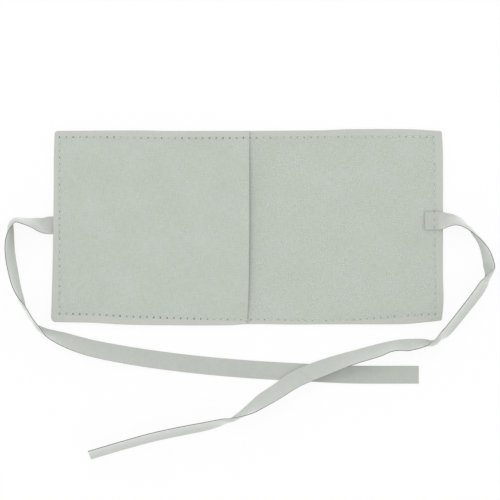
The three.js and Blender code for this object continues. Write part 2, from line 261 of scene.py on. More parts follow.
class PouchColours(bpy.types.PropertyGroup):
    """Colours of the cloth, the ribbon and the thread."""

    suede: bpy.props.FloatVectorProperty(
        name="Suede", description="Nap that lies towards the light",
        default=linear("#C6CDC4"), size=3, min=0, max=1, subtype="COLOR",
    )
    suede_shade: bpy.props.FloatVectorProperty(
        name="Suede shade", description="Nap that lies away from the light",
        default=linear("#B3BAB0"), size=3, min=0, max=1, subtype="COLOR",
    )
    # the rim colour is the pressed margins' own grey, and is also painted along the pocket's mouth as a
    # highlight
    suede_rim_and_highlight: bpy.props.FloatVectorProperty(
        name="Suede rim", description="Pressed margins outside the stitches, and the edge of the mouth",
        default=linear("#C6C8C2"), size=3, min=0, max=1, subtype="COLOR",
    )
    ribbon: bpy.props.FloatVectorProperty(
        name="Ribbon", description="Faces of the tie ribbons",
        default=linear("#BABFB8"), size=3, min=0, max=1, subtype="COLOR",
    )
    # the cut edges' colour: partly their own darker ground, partly painted shade along the raised edges
    ribbon_edge_and_shade: bpy.props.FloatVectorProperty(
        name="Ribbon edge", description="Cut edges of the tie ribbons",
        default=linear("#767876"), size=3, min=0, max=1, subtype="COLOR",
    )
    thread: bpy.props.FloatVectorProperty(
        name="Thread", description="Sewing thread",
        default=linear("#CDD3CB"), size=3, min=0, max=1, subtype="COLOR",
    )
    # painted shade: the colour that darkens the needle holes in place of the shade inside them
    needle_hole_shade: bpy.props.FloatVectorProperty(
        name="Needle hole", description="Shade inside a needle hole",
        default=linear("#6F796E"), size=3, min=0, max=1, subtype="COLOR",
    )


def smooth(at, rows):
    """Values at places on a smooth line through rows. A row's first number is its place."""
    rows = np.array(rows, float)
    places, values = rows[:, 0], rows[:, 1:]
    slopes = np.empty_like(values)
    slopes[1:-1] = (values[2:] - values[:-2]) / (places[2:] - places[:-2])[:, None]
    slopes[0] = (values[1] - values[0]) / (places[1] - places[0])
    slopes[-1] = (values[-1] - values[-2]) / (places[-1] - places[-2])
    at = np.clip(at, places[0], places[-1])
    i = np.clip(np.searchsorted(places, at, side="right") - 1, 0, len(places) - 2)
    gap = places[i + 1] - places[i]
    t = ((at - places[i]) / gap)[..., None]
    gap = gap[..., None]
    return (
        values[i] * (1 + 2 * t) * (1 - t) ** 2
        + slopes[i] * gap * t * (1 - t) ** 2
        + values[i + 1] * t**2 * (3 - 2 * t)
        + slopes[i + 1] * gap * t**2 * (t - 1)
    )


def ease(value):
    """0 below 0, 1 above 1, and a smooth step between."""
    value = np.clip(value, 0, 1)
    return value * value * (3 - 2 * value)


def between(value, knots):
    """Straight runs between knots. A knot is a place and where it goes, which may differ by value."""
    result = np.zeros_like(value)
    for n, ((start, to_start), (end, to_end)) in enumerate(zip(knots, knots[1:])):
        t = (value - start) / (end - start)
        here = np.ones_like(value, bool)
        if n > 0:
            here &= value >= start
        if n < len(knots) - 2:
            here &= value < end
        result = np.where(here, to_start + t * (to_end - to_start), result)
    return result


def lay(x, y, pocket=False):
    """Where points of the straight cut lie: edges bow, stitch rows wander, and corners are rounded."""
    for edge, radius in ((POCKET_END, POCKET_CORNER), (FLAP_END, FLAP_CORNER)):
        in_x = radius - np.abs(x - edge)
        in_y = np.abs(y) - (HALF_WIDTH - radius)
        corner = (in_x > 0) & (in_y > 0)
        share = np.where(corner, np.maximum(in_x, in_y) / np.maximum(np.hypot(in_x, in_y), 1e-9), 1)
        x = np.where(corner, edge + np.sign(-edge) * (radius - in_x * share), x)
        y = np.where(corner, np.sign(y) * (HALF_WIDTH - radius + in_y * share), y)
    knots = [
        (POCKET_END, POCKET_END + smooth(y, LEFT_EDGE)[..., 0]),
        (POCKET_ROW, POCKET_ROW + smooth(y, LEFT_ROW)[..., 0]),
    ]
    if pocket:
        knots += [(MOUTH, MOUTH + smooth(y, MOUTH_EDGE)[..., 0])]
    else:
        knots += [
            (FLAP_ROW, FLAP_ROW + smooth(y, RIGHT_ROW)[..., 0]),
            (FLAP_END, FLAP_END + smooth(y, RIGHT_EDGE)[..., 0]),
        ]
    across = [
        (-HALF_WIDTH, -HALF_WIDTH + smooth(x, BOTTOM_EDGE)[..., 0]),
        (-SIDE_ROW, -SIDE_ROW + smooth(x, BOTTOM_ROW)[..., 0]),
        (SIDE_ROW, SIDE_ROW + smooth(x, TOP_ROW)[..., 0]),
        (HALF_WIDTH, HALF_WIDTH + smooth(x, TOP_EDGE)[..., 0]),
    ]
    return between(x, knots), between(y, across)


def seam_distance(x, y):
    """How far points of the straight cut are from the nearest stitch row."""
    to_side = np.abs(np.abs(y) - SIDE_ROW)
    to_end = np.minimum(np.abs(x - POCKET_ROW), np.abs(x - FLAP_ROW))
    return np.minimum(to_side, to_end)


def groove(x, y, depth=SEAM_GROOVE):
    """How deep the stitches pull the cloth in at points of the straight cut."""
    return depth * (1 - ease(seam_distance(x, y) / SEAM_GROOVE_WIDTH))


def cover_under(x, y):
    """Height of the outer cover's face, which the under thread lies on."""
    return groove(x, y, COVER_GROOVE)


def pocket_under(x, y):
    """Height of the pocket's underside: low where it is sewn, lifted by the left tie and at its mouth."""
    gape = bpy.context.scene.pouch_sizes.mouth_gape / MM
    inside = np.minimum(SIDE_ROW - np.abs(y), x - POCKET_ROW)
    press = POCKET_PRESS * (1 - ease(inside / POCKET_PRESS_WIDTH))
    over_tie = 1 - ease((np.abs(y - LEFT_TIE_ACROSS) - TIE_WIDTH / 2) / TIE_BULGE_SIDE)
    over_tie *= 1 - ease((x - POCKET_END - TIE_SEWN_LENGTH + TIE_BULGE_START) / TIE_BULGE_FADE)
    open_edge = ease((x - MOUTH) / MOUTH_REACH + 1) * ease((SIDE_ROW - np.abs(y)) / MOUTH_SPAN)
    lift = (gape - (POCKET_UNDER - INNER_FACE)) * open_edge
    return POCKET_UNDER - press + TIE_BULGE * over_tie * press / POCKET_PRESS + lift


def pocket_over(x, y):
    """Height of the pocket's face."""
    return pocket_under(x, y) + POCKET_THICKNESS - groove(x, y)


def cover_over(x, y):
    """Height of the outer cover's inner side, which the lining lies on."""
    return np.full_like(x, COVER_FACE)


def flap_over(x, y):
    """Height of the lining's face."""
    return np.where(x > MOUTH, INNER_FACE - groove(x, y), INNER_FACE)


def grid_lines(*runs):
    """Grid lines from several runs of them, in order and each one once."""
    return np.unique(np.round(np.concatenate(runs), 4))


def ruled(step, *places):
    """Places with even steps between them, none longer than step."""
    runs = zip(places, places[1:])
    return grid_lines(*(np.linspace(a, b, int(np.ceil((b - a) / step)) + 1) for a, b in runs))


def edge_lines(edge, inward):
    """Grid lines close to a cut edge, where it is rounded and its corners turn."""
    return edge + inward * np.array(EDGE_LINES)


def row_lines(row):
    """Grid lines close to a stitch row, where it pulls the cloth in."""
    return row + np.linspace(-SEAM_GROOVE_WIDTH, SEAM_GROOVE_WIDTH, ROW_LINES)


def upper_half_lines():
    """Grid lines across the pouch, from its middle to its upper edge."""
    plain = ruled(GRID_STEP, 0, SIDE_ROW - ROW_CLEAR)
    return grid_lines(plain, row_lines(SIDE_ROW), edge_lines(HALF_WIDTH, -1))


def cloth(name, xs, ys, under, over, material, free_edges, pocket=False):
    """A closed sheet of cloth on grid lines xs and ys of its straight cut. Its free edges are rounded cuts,
    and its other edges meet the next sheet."""
    x, y = np.meshgrid(xs, ys, indexing="ij")
    low, high = under(x, y), over(x, y)
    to_edge = {"bottom": y - ys[0], "right": xs[-1] - x, "top": ys[-1] - y, "left": x - xs[0]}
    inset = np.minimum(CUT_EDGE, np.min([to_edge[side] for side in free_edges], axis=0))
    pinch = EDGE_PINCH * (high - low) * (1 - np.sqrt(1 - (1 - inset / CUT_EDGE) ** 2))
    laid_x, laid_y = lay(x, y, pocket)
    top = np.stack([laid_x, laid_y, high - pinch], axis=-1).reshape(-1, 3)
    bottom = np.stack([laid_x, laid_y, low + pinch], axis=-1).reshape(-1, 3)
    index = np.arange(x.size).reshape(x.shape)
    corners = [index[:-1, :-1], index[1:, :-1], index[1:, 1:], index[:-1, 1:]]
    quads = np.stack(corners, axis=-1).reshape(-1, 4)
    rim = np.concatenate([index[:, 0], index[-1, 1:], index[-2::-1, -1], index[0, -2:0:-1]])
    walls = np.stack([rim, rim + x.size, np.roll(rim, -1) + x.size, np.roll(rim, -1)], axis=-1)
    outside = np.maximum(np.abs(y) - SIDE_ROW, np.maximum(POCKET_ROW - x, x - FLAP_ROW))
    rim_and_highlight = RIM_SHARE * ease(outside / RIM_FADE)
    # at the pocket's mouth the rim tone is a painted highlight along the edge
    if pocket:
        rim_and_highlight = np.maximum(rim_and_highlight, 1 - ease((MOUTH - x) / CUT_EDGE))
    # cut's third number is the share of rim tone: the pressed margins and the painted highlight at the mouth
    cut = np.stack([x, y, rim_and_highlight], axis=-1).reshape(-1, 3)
    points = np.concatenate([top, bottom])
    faces = np.concatenate([quads, quads[:, ::-1] + x.size, walls])
    return piece(name, points, faces, np.concatenate([cut, cut]), [material])


def piece(name, points, faces, cut, materials, slots=None):
    """A mesh object from points in millimetres. cut holds each point's place on the flat cut. It is shaded
    smooth except at sharp turns, so that sheets that meet end to end show no line."""
    mesh = bpy.data.meshes.new(name)
    mesh.from_pydata((points * MM).tolist(), [], [list(f) for f in faces])
    for material in materials:
        mesh.materials.append(material)
    if slots is not None:
        mesh.polygons.foreach_set("material_index", slots)
    mesh.shade_smooth()
    mesh.set_sharp_from_angle(angle=SHARP_TURN)
    mesh.attributes.new("cut", "FLOAT_VECTOR", "POINT").data.foreach_set("vector", cut.ravel())
    obj = bpy.data.objects.new(name, mesh)
    bpy.context.scene.collection.objects.link(obj)
    return obj


def node(tree, kind, values=(), links=(), **settings):
    """Adds one node: settings are its own, values and links go to its inputs by name or number."""
    new = tree.nodes.new(kind)
    for key, value in settings.items():
        setattr(new, key, value)
    for key, value in dict(values).items():
        new.inputs[key].default_value = value
    for key, socket in dict(links).items():
        tree.links.new(socket, new.inputs[key])
    return new.outputs


def rgba(colour):
    """A colour property as the four numbers of a colour socket."""
    return [*colour, 1]


def new_material(name):
    """An empty node material and its tree."""
    material = bpy.data.materials.new(name)
    material.use_nodes = True
    material.node_tree.nodes.clear()
    return material, material.node_tree


def sewn_material(name):
    """An empty node material, its tree, and each point's place on the flat cut."""
    material, tree = new_material(name)
    return material, tree, node(tree, "ShaderNodeAttribute", attribute_name="cut")["Vector"]


def marks(tree, cut, length, width, detail=2):
    """Soft marks at random on the flat cut, of the given length along it and width across it in millimetres.
    They are about 0, and mostly within a quarter of it."""
    scale = (1 / length, 1 / width, 1)
    stretched = node(tree, "ShaderNodeMapping", {"Scale": scale}, {"Vector": cut})[0]
    raw = node(
        tree,
        "ShaderNodeTexNoise",
        {"Scale": 1, "Detail": detail},
        {"Vector": stretched},
        noise_dimensions="2D",
    )["Fac"]
    return node(tree, MATH, {1: NOISE_MIDDLE}, {0: raw}, operation="SUBTRACT")[0]


def needle_holes(tree, run, off, shape):
    """Share of shade at the needle holes of one stitch row, by the distance along the row from the nearest
    hole and the distance from the row. shape is a hole's length, width and share of shade."""
    length, width, shade = shape
    reach = (length / 2, width / 2, 1)
    spot = node(tree, "ShaderNodeCombineXYZ", {}, {0: run, 1: off})[0]
    spot = node(tree, "ShaderNodeVectorMath", {1: reach}, {0: spot}, operation="DIVIDE")[0]
    distance = node(tree, "ShaderNodeVectorMath", {}, {0: spot}, operation="LENGTH")["Value"]
    return node(
        tree,
        "ShaderNodeMapRange",
        {"From Min": 1, "From Max": HOLE_CORE, "To Max": shade},
        {"Value": distance},
        interpolation_type="SMOOTHSTEP",
    )[0]


def from_hole(tree, place, first, pitch):
    """Distance along a stitch row from its nearest needle hole."""
    past = node(tree, MATH, {1: first}, {0: place}, operation="SUBTRACT")[0]
    return node(tree, MATH, {1: pitch / 2, 2: -pitch / 2}, {0: past}, operation="WRAP")[0]


def seam_holes(tree, cut):
    """Share of shade at the needle holes of the row that runs round the pouch, by place on the straight
    cut. Some holes have closed up more than others, and those on the flap most."""
    place = node(tree, "ShaderNodeSeparateXYZ", {}, {0: cut})
    off_side = node(tree, MATH, {}, {0: place["Y"]}, operation="ABSOLUTE")[0]
    off_side = node(tree, MATH, {1: SIDE_ROW}, {0: off_side}, operation="SUBTRACT")[0]
    off_end = node(tree, MATH, {1: (POCKET_ROW + FLAP_ROW) / 2}, {0: place["X"]}, operation="SUBTRACT")[0]
    off_end = node(tree, MATH, {}, {0: off_end}, operation="ABSOLUTE")[0]
    off_end = node(tree, MATH, {1: (FLAP_ROW - POCKET_ROW) / 2}, {0: off_end}, operation="SUBTRACT")[0]
    along = from_hole(tree, place["X"], POCKET_ROW, SIDE_PITCH)
    across = from_hole(tree, place["Y"], -SIDE_ROW, END_PITCH)
    holes = []
    for run, off, beyond, shape in (
        (along, off_side, off_end, SIDE_HOLE),
        (across, off_end, off_side, END_HOLE),
    ):
        hole = needle_holes(tree, run, off, shape)
        inside = node(tree, MATH, {1: SIDE_HOLE[0] / 2}, {0: beyond}, operation="LESS_THAN")[0]
        holes.append(node(tree, MATH, {}, {0: hole, 1: inside}, operation="MULTIPLY")[0])
    hole = node(tree, MATH, {}, {0: holes[0], 1: holes[1]}, operation="MAXIMUM")[0]
    kept = node(
        tree,
        "ShaderNodeMapRange",
        {"From Min": -0.2, "From Max": 0.1, "To Min": CLOSED_HOLE},
        {"Value": marks(tree, cut, HOLE_PATCH, HOLE_PATCH)},
    )[0]
    on_flap = node(
        tree,
        "ShaderNodeMapRange",
        {"From Min": MOUTH, "From Max": FLAP_HOLE_START, "To Min": 1, "To Max": FLAP_HOLE},
        {"Value": place["X"]},
    )[0]
    for share in (kept, on_flap):
        hole = node(tree, MATH, {}, {0: hole, 1: share}, operation="MULTIPLY")[0]
    return hole


def suede_nap(tree, cut, flecks):
    """How the nap of microsuede lies, about 0: broad patches, crossed streaks, and flecks that come in
    clusters. The fibres are really under 0.1 mm thick, and are drawn 0.5 mm thick so that they show."""
    cluster = node(
        tree,
        "ShaderNodeMapRange",
        {"From Min": -0.06, "From Max": 0.1, "To Min": 0.2},
        {"Value": marks(tree, cut, FLECK_CLUSTER, FLECK_CLUSTER)},
    )[0]
    fleck = marks(tree, cut, FLECK, FLECK, 1)
    fleck = node(tree, MATH, {}, {0: fleck, 1: cluster}, operation="MULTIPLY")[0]
    nap = None
    for part, share in (
        (marks(tree, cut, NAP_PATCH, NAP_PATCH), PATCH_SHARE),
        (marks(tree, cut, STREAK_LENGTH, STREAK_WIDTH), STREAK_SHARE),
        (marks(tree, cut, STREAK_WIDTH, STREAK_LENGTH), STREAK_SHARE),
        (fleck, flecks),
    ):
        below = {} if nap is None else {2: nap}
        nap = node(tree, MATH, {1: share, 2: 0}, {0: part, **below}, operation="MULTIPLY_ADD")[0]
    return nap


def suede_shader(tree, nap, colour, hole, fuzz):
    """Dead matt shader of microsuede. The nap gives it its relief, and fuzz is how much the loose fibre ends
    catch the light where the cloth turns away."""
    height = node(tree, MATH, {1: -HOLE_DENT}, {0: hole, 2: nap}, operation="MULTIPLY_ADD")[0]
    bump = node(tree, "ShaderNodeBump", {"Strength": 0.3, "Distance": 0.06 * MM}, {"Height": height})[0]
    rough = node(
        tree,
        "ShaderNodeMapRange",
        {"From Min": -0.5, "From Max": 0.5, "To Min": 0.98, "To Max": 0.86},
        {"Value": nap},
    )[0]
    shader = node(
        tree,
        "ShaderNodeBsdfPrincipled",
        {"IOR": 1.5, "Specular IOR Level": 0.2, "Sheen Weight": fuzz, "Sheen Roughness": 0.55},
        {"Base Color": colour, "Roughness": rough, "Normal": bump},
    )[0]
    node(tree, "ShaderNodeOutputMaterial", {}, {"Surface": shader})


def microsuede(name, flecks):
    """Microsuede: knitted polyester microfibre with a sanded nap. It is dead matt, with patches, streaks and
    flecks where the nap lies differently. Pressed margins are greyer, the edge of the pocket's mouth gets
    a painted highlight in the same grey, and needle holes show as dark dots of painted shade."""
    if name in bpy.data.materials:  # the cover and the pocket share one
        return bpy.data.materials[name]
    material, tree, cut = sewn_material(name)
    colours = bpy.context.scene.pouch_colours
    nap = suede_nap(tree, cut, flecks)
    lie = node(tree, MATH, {1: NOISE_MIDDLE}, {0: nap}, operation="ADD", use_clamp=True)[0]
    rim_and_highlight = node(tree, "ShaderNodeSeparateXYZ", {}, {0: cut})["Z"]
    # painted shade at the needle holes
    hole = seam_holes(tree, cut)
    naps = {6: rgba(colours.suede_shade), 7: rgba(colours.suede)}
    colour = node(tree, "ShaderNodeMix", naps, {0: lie}, data_type="RGBA")[2]
    # the rim tone paints the pressed margins and a highlight along the mouth's edge; the needle holes get
    # painted shade
    for share, over in ((rim_and_highlight, colours.suede_rim_and_highlight), (hole, colours.needle_hole_shade)):
        colour = node(tree, "ShaderNodeMix", {7: rgba(over)}, {0: share, 6: colour}, data_type="RGBA")[2]
    suede_shader(tree, nap, colour, hole, SUEDE_FUZZ)
    return material


def ribbon_suede(name, face, fuzz):
    """Microsuede ribbon: the same cloth cut into a narrow strip, with a finer nap. Its cut edges show the
    darker ground under the nap, made darker still as painted shade along the raised edges, and the row
    that holds its end has left needle holes, painted as dots of shade."""
    material, tree, cut = sewn_material(name)
    hole_shade = rgba(bpy.context.scene.pouch_colours.needle_hole_shade)
    nap = suede_nap(tree, cut, RIBBON_FLECKS)
    tone = node(tree, MATH, {1: RIBBON_TONE, 2: 1}, {0: nap}, operation="MULTIPLY_ADD")[0]
    shade = node(tree, "ShaderNodeVectorMath", {0: face}, {"Scale": tone}, operation="SCALE")[0]
    place = node(tree, "ShaderNodeSeparateXYZ", {}, {0: cut})
    row = TIE_SEWN_LENGTH - FLAP_END + FLAP_ROW
    run = from_hole(tree, place["Y"], TIE_FIRST_HOLE, END_PITCH)
    off = node(tree, MATH, {1: row}, {0: place["X"]}, operation="SUBTRACT")[0]
    # painted shade at the needle holes of the row that holds the tie's end
    hole = needle_holes(tree, run, off, END_HOLE)
    colour = node(tree, "ShaderNodeMix", {7: hole_shade}, {0: hole, 6: shade}, data_type="RGBA")[2]
    suede_shader(tree, nap, colour, hole, fuzz)
    return material


def spun_thread(name):
    """Spun polyester sewing thread: plies twisted together. It catches the light a bit more than the nap."""
    material, tree, cut = sewn_material(name)
    colour = bpy.context.scene.pouch_colours.thread
    slanted = node(tree, "ShaderNodeMapping", {"Rotation": (0, 0, PLY_SLANT)}, {"Vector": cut})[0]
    plies = node(
        tree,
        "ShaderNodeTexWave",
        {"Scale": WAVE_STEP / PLY_SPACING, "Distortion": 0.6},
        {"Vector": slanted},
    )["Fac"]
    tone = node(tree, "ShaderNodeMapRange", {"To Min": 0.82, "To Max": 1.08}, {"Value": plies})[0]
    shade = node(tree, "ShaderNodeVectorMath", {0: colour}, {"Scale": tone}, operation="SCALE")[0]
    bump = node(tree, "ShaderNodeBump", {"Strength": 0.4, "Distance": 0.05 * MM}, {"Height": plies})[0]
    roughness = node(tree, "ShaderNodeMapRange", {"To Min": 0.75, "To Max": 0.6}, {"Value": plies})[0]
    shader = node(
        tree,
        "ShaderNodeBsdfPrincipled",
        {"IOR": 1.5, "Specular IOR Level": 0.35, "Sheen Weight": 0.15},
        {"Base Color": shade, "Roughness": roughness, "Normal": bump},
    )[0]
    node(tree, "ShaderNodeOutputMaterial", {}, {"Surface": shader})
    return material


def sweep(name):
    """Matt white studio floor. Most of its light to the camera is its own, so that it stays white and its
    shadows stay faint."""
    material, tree = new_material(name)
    rays = node(tree, "ShaderNodeLightPath")
    seen = node(tree, MATH, {}, {0: rays["Is Camera Ray"], 1: rays["Is Glossy Ray"]}, operation="MAXIMUM")[0]
    seen = node(tree, MATH, {}, {0: seen, 1: rays["Is Transmission Ray"]}, operation="MAXIMUM")[0]
    share = node(tree, MATH, {1: FLOOR_GLOW}, {0: seen}, operation="MULTIPLY")[0]
    matt = node(tree, "ShaderNodeBsdfDiffuse", {"Color": rgba(linear("#FDFDFD"))})[0]
    glow = node(tree, "ShaderNodeEmission", {"Color": (1, 1, 1, 1), "Strength": 1})[0]
    surface = node(tree, "ShaderNodeMixShader", {}, {0: share, 1: matt, 2: glow})[0]
    node(tree, "ShaderNodeOutputMaterial", {}, {"Surface": surface})
    return material


def light_tent(name):
    """White light tent round the stage. Its walls are brighter than its top, so upright faces look pale."""
    world = bpy.data.worlds.new(name)
    world.use_nodes = True
    tree = world.node_tree
    tree.nodes.clear()
    way = node(tree, "ShaderNodeTexCoord")["Generated"]
    height = node(tree, "ShaderNodeSeparateXYZ", {}, {0: way})["Z"]
    below_top = node(tree, MATH, {0: 1}, {1: height}, operation="SUBTRACT", use_clamp=True)[0]
    share = node(tree, MATH, {1: TENT_POWER}, {0: below_top}, operation="POWER")[0]
    strengths = {"To Min": TENT_TOP, "To Max": TENT_WALL}
    strength = node(tree, "ShaderNodeMapRange", strengths, {"Value": share})[0]
    light = node(tree, "ShaderNodeBackground", {"Color": (1, 1, 1, 1)}, {"Strength": strength})[0]
    node(tree, "ShaderNodeOutputWorld", {}, {"Surface": light})
    return world


def tie_course(route, exit_x, curl):
    """Rows of a tie's course, sewn end and all: each is its place along the tie, and then as in a route.
    curl is how far the sewn end stands off the lining."""
    out = np.sign(exit_x)
    sewn = [
        [-TIE_SEWN_LENGTH * out, 0, 0, INNER_FACE + curl],
        [-TIE_END_FLAT * out, 0, 0, INNER_FACE],
        [-TIE_END_SEWN * out, 0, 0, INNER_FACE],
        [-TIE_END_ROLL * out, 0, TIE_FIRST_ROLL * route[0][2], INNER_FACE],
    ]
    rows = np.array(sewn + route, float)
    along = np.concatenate([[0], np.cumsum(np.hypot(*np.diff(rows[:, :2], axis=0).T))])
    return np.column_stack([along, rows])


def tie_roll(at, course, spots):
    """Roll of each spot across a tie's width at places along it, in radians, and how far it folds there.
    The ribbon sags across its width where it leans and cups where it twists on edge. Its edge on the table
    turns later than the raised one near its sewn end and at a fold."""
    twist = np.gradient(smooth(at, course)[:, 2], at)
    near = np.exp(-(((at[:, None] - at) / TIE_TWIST_REACH) ** 2))
    twist = near @ twist / near.sum(axis=1)
    past_exit = at - TIE_SEWN_LENGTH
    held = ease(past_exit / TIE_LAG) * (1 - ease(past_exit / TIE_LAG_END - 1))
    quickest = np.where(np.abs(at[:, None] - at) < TIE_FOLD_REACH, twist, 0).min(axis=1)
    fold = near @ ease(-quickest / TIE_FOLD_TWIST - 1) / near.sum(axis=1)
    spread = spots / TIE_WIDTH
    late = TIE_LAG * held[:, None] * spread + TIE_FOLD_LAG * fold[:, None] * (spread - TIE_FOLD_SHIFT)
    roll = np.radians(smooth(at[:, None] + late, course)[..., 2])
    sag = TIE_SAG * np.sin(2 * roll) * np.sin(roll)
    cup = np.minimum(TIE_CUP * np.abs(twist), TIE_CUP_MOST)[:, None] * np.sin(roll) ** TIE_CUP_POWER
    return roll + (sag - cup) * 2 * spread, fold


def tie_profile(roll, fold, spots):
    """How far aside and how high each spot across a tie's width is. The course runs midway between its two
    edges, and at a fold midway between its two sides."""
    leaning = np.stack([np.cos(roll), np.sin(roll)], axis=-1)
    steps = (leaning[:, 1:] + leaning[:, :-1]) / 2 * np.diff(spots)[:, None]
    profile = np.concatenate([np.zeros_like(leaning[:, :1]), np.cumsum(steps, axis=1)], axis=1)
    aside = profile[..., 0]
    edge_middle = aside[:, -1] / 2
    side_middle = (aside.min(axis=1) + aside.max(axis=1)) / 2
    aside -= (edge_middle + (side_middle - edge_middle) * fold)[:, None]
    return profile


def tie(name, materials, route, across, exit_x, hand, curl):
    """One tie on its route: a strip with square cut edges, from its sewn end to its cut far end."""
    half, thick = TIE_WIDTH / 2, TIE_THICKNESS / 2
    course = tie_course(route, exit_x, curl)
    at = ruled(TIE_STEP, *course[:, 0])
    x, y, _, lift = smooth(at, course).T
    heading = np.stack([np.gradient(x, at), np.gradient(y, at)], axis=-1)
    heading /= np.linalg.norm(heading, axis=1)[:, None]
    sideways = hand * np.column_stack([-heading[:, 1], heading[:, 0]])
    bevel, strip = half - TIE_BEVEL, half - TIE_EDGE_STRIP
    flat = ruled(TIE_SECTION_STEP, -bevel, -strip, strip, bevel)
    spots = np.concatenate([[-half], flat, [half]])
    roll, fold = tie_roll(at, course, spots)
    profile = tie_profile(roll, fold, spots)
    last = len(spots) - 1
    section = [(n, thick) for n in range(1, last)] + [(last, thick - TIE_BEVEL), (last, TIE_BEVEL - thick)]
    section += [(last - n, -off) for n, off in section]
    spot = [n for n, _ in section]
    off = hand * np.array([off for _, off in section])
    aside = profile[:, spot, 0] - off * np.sin(roll[:, spot])
    level = profile[:, spot, 1] + off * np.cos(roll[:, spot])
    level += (np.maximum(lift, 0) - level.min(axis=1))[:, None]
    middle_line = np.column_stack([x + exit_x, y + across])[:, None]
    points = np.concatenate([middle_line + aside[..., None] * sideways[:, None], level[..., None]], axis=-1)
    sides = len(section)
    ring = np.arange(sides)
    faces, slots = [], []
    for start in range(0, (len(at) - 1) * sides, sides):
        for a in ring:
            b = (a + 1) % sides
            faces.append([start + a, start + a + sides, start + b + sides, start + b])
            slots.append(int(a % (sides // 2) == len(flat)))
    faces += [list(ring), list(ring[::-1] + (len(at) - 1) * sides)]
    slots += [1, 1]
    cut = np.column_stack([np.repeat(at, sides), np.tile(spots[spot], len(at)), np.zeros(len(at) * sides)])
    return piece(name, points.reshape(-1, 3), faces, cut, materials, slots), points.mean(axis=1)


def hole_rows():
    """Needle holes of each stitch row on the straight cut: x and y of them all, by the row's name."""
    x = POCKET_ROW + SIDE_PITCH * np.arange(SIDE_STITCHES + 1)
    y = -SIDE_ROW + END_PITCH * np.arange(END_STITCHES + 1)
    return {
        "top": (x, np.full_like(x, SIDE_ROW)),
        "bottom": (x, np.full_like(x, -SIDE_ROW)),
        "left": (np.full_like(y, POCKET_ROW), y),
        "right": (np.full_like(y, FLAP_ROW), y),
    }


def upper_seat(x, y):
    """Height of what the upper thread lies on: the pocket's face, the lining's or the right tie's end."""
    on_tie = np.abs(y - RIGHT_TIE_ACROSS) < TIE_WIDTH / 2 + THREAD_OVERHANG
    on_tie &= x > FLAP_END - TIE_SEWN_LENGTH
    flap = flap_over(x, y) + np.where(on_tie, TIE_THICKNESS, 0)
    return np.where(x <= MOUTH, pocket_over(x, y), flap)


def laid_hole(hole):
    """Where a needle hole of the straight cut lies."""
    x, y = np.reshape(hole, (2, 1))
    return np.concatenate(lay(x, y, pocket=hole[0] <= MOUTH))


def stitch_mesh(name, stitches, seat, up, material):
    """Strands of thread between needle holes, each rising from one hole and diving into the next."""
    radius = bpy.context.scene.pouch_sizes.thread / MM / 2
    share = np.array(STRAND_PLACES)
    rise = np.array(STRAND_RISE) * radius
    if up < 0:
        rise = np.minimum(rise, UNDER_RISE * radius)
    turn = np.linspace(0, 2 * np.pi, STRAND_SIDES, endpoint=False)
    count = len(share) * STRAND_SIDES
    index = np.arange(count).reshape(len(share), STRAND_SIDES)
    after = np.roll(index, -1, axis=1)
    strand = np.stack([index[1:], after[1:], after[:-1], index[:-1]], axis=-1).reshape(-1, 4)
    points, faces, cut = [], [], []
    for n, (start, end) in enumerate(stitches):
        a, b = laid_hole(start), laid_hole(end)
        at = np.outer(1 - share, start) + np.outer(share, end)
        level = seat(at[:, 0], at[:, 1]) + up * rise
        line = np.column_stack([np.outer(1 - share, a) + np.outer(share, b), level])
        length = np.linalg.norm(b - a)
        side = np.cross((0, 0, 1), np.append(b - a, 0) / length)
        tangent = np.gradient(line, axis=0)
        tangent /= np.linalg.norm(tangent, axis=1)[:, None]
        lift = np.cross(tangent, side)
        ring = np.cos(turn)[None, :, None] * side + np.sin(turn)[None, :, None] * lift[:, None]
        points.append((line[:, None] + radius * ring).reshape(-1, 3))
        along, round_it = np.meshgrid(share * length, turn * radius, indexing="ij")
        cut.append(np.column_stack([along.ravel(), round_it.ravel(), np.zeros(count)]))
        faces += (strand + n * count).tolist()
        faces += [(index[0] + n * count).tolist(), (index[-1, ::-1] + n * count).tolist()]
    return piece(name, np.concatenate(points), faces, np.concatenate(cut), [material])


class POUCH_OT_add_ties(bpy.types.Operator):
    """Add the two tie ribbons, from their sewn ends to their cut far ends"""

    bl_idname = "pouch.add_ties"
    bl_label = "Tie ribbons"

    def execute(self, context):
        colours = context.scene.pouch_colours
        materials = [
            ribbon_suede("microsuede ribbon", colours.ribbon, RIBBON_FUZZ),
            # the cut edge material is darker partly as painted shade along the raised edges
            ribbon_suede("microsuede cut edge", colours.ribbon_edge_and_shade, CUT_EDGE_FUZZ),
        ]
        left = (LEFT_TIE_ROUTE, LEFT_TIE_ACROSS, POCKET_END, LEFT_HAND, 0)
        right = (RIGHT_TIE_ROUTE, RIGHT_TIE_ACROSS, FLAP_END, RIGHT_HAND, TIE_END_CURL)
        for side, body, shape, slope in (
            ("left", "pocket_half", left, LEFT_TIE_SLOPE),
            ("right", "flap", right, RIGHT_TIE_SLOPE),
        ):
            ribbon, line = tie(f"{side}_tie", materials, *shape)
            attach(ribbon, body)
            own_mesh(ribbon)
            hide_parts(f"{side}_tie_ribbon", f"{side}_tie_sewn_end")
        return {"FINISHED"}


